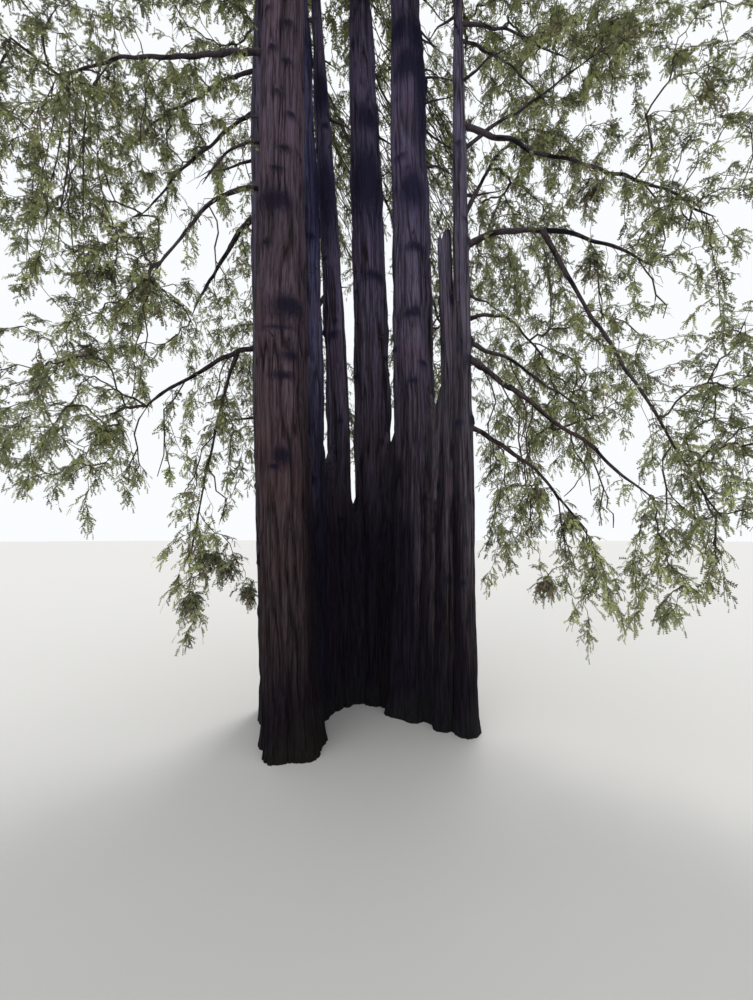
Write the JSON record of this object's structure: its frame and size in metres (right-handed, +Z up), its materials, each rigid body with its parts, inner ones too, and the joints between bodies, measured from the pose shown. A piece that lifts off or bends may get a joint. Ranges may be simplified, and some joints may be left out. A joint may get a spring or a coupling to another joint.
{
  "type": "redwood tree",
  "caption": "Ring of coast redwood stems risen from one root crown, one stem snapped off, with long bare-based boughs and a shared crown of drooping foliage.",
  "frame": {"origin": "middle of the flat cut under the front left stem, the main one, at ground level", "axes": "+Z up; the pictured side faces -Y, with +X to the right"},
  "size_m": [17.8916, 12.4034, 40],
  "materials": {
    "bark_lit": "fibrous reddish brown bark",
    "bark": "fibrous dark brown bark",
    "bough_bark": "rough dark bark",
    "foliage": "matt green needles in flat sprays"
  },
  "bodies": {
    "root": {"bough_back_left": "bough_bark", "bough_back_left_high": "bough_bark", "bough_back_right": "bough_bark", "bough_back_right_high": "bough_bark", "bough_left_falling": "bough_bark", "bough_left_hanging": "bough_bark", "bough_left_high": "bough_bark", "bough_left_high_rear": "bough_bark", "bough_left_low": "bough_bark", "bough_left_mid": "bough_bark", "bough_left_mid_rear": "bough_bark", "bough_left_short": "bough_bark", "bough_right_arched": "bough_bark", "bough_right_inner": "bough_bark", "bough_right_long": "bough_bark", "bough_right_low": "bough_bark", "bough_right_lowest": "bough_bark", "bough_right_mid": "bough_bark", "bough_right_mid_hanging": "bough_bark", "bough_right_rising": "bough_bark", "bough_right_steep": "bough_bark", "bough_right_top": "bough_bark", "bough_right_top_falling": "bough_bark", "crown_back_left": "foliage", "crown_back_right": "foliage", "crown_front_left": "foliage", "crown_front_right": "foliage", "crown_left": "foliage", "crown_right": "foliage", "foliage_back_left": "foliage", "foliage_back_right": "foliage", "foliage_left_hanging": "foliage", "foliage_left_high": "foliage", "foliage_left_inner": "foliage", "foliage_left_low": "foliage", "foliage_left_mid": "foliage", "foliage_left_outer": "foliage", "foliage_right_drooping": "foliage", "foliage_right_hanging": "foliage", "foliage_right_high": "foliage", "foliage_right_inner": "foliage", "foliage_right_low": "foliage", "foliage_right_lowest": "foliage", "foliage_right_mid": "foliage", "foliage_right_outer": "foliage", "root_crown": "bark", "spire_front_left": "foliage", "spire_middle": "foliage", "spire_rear_left": "foliage", "spire_right": "foliage", "spire_slender_left": "foliage", "spire_slender_right": "foliage", "stem_front_left": "bark_lit", "stem_inner_left": "bark", "stem_middle": "bark", "stem_rear_left": "bark", "stem_right": "bark", "stem_slender_left": "bark", "stem_slender_right": "bark", "stem_snapped": "bark"}
  },
  "joints": []
}
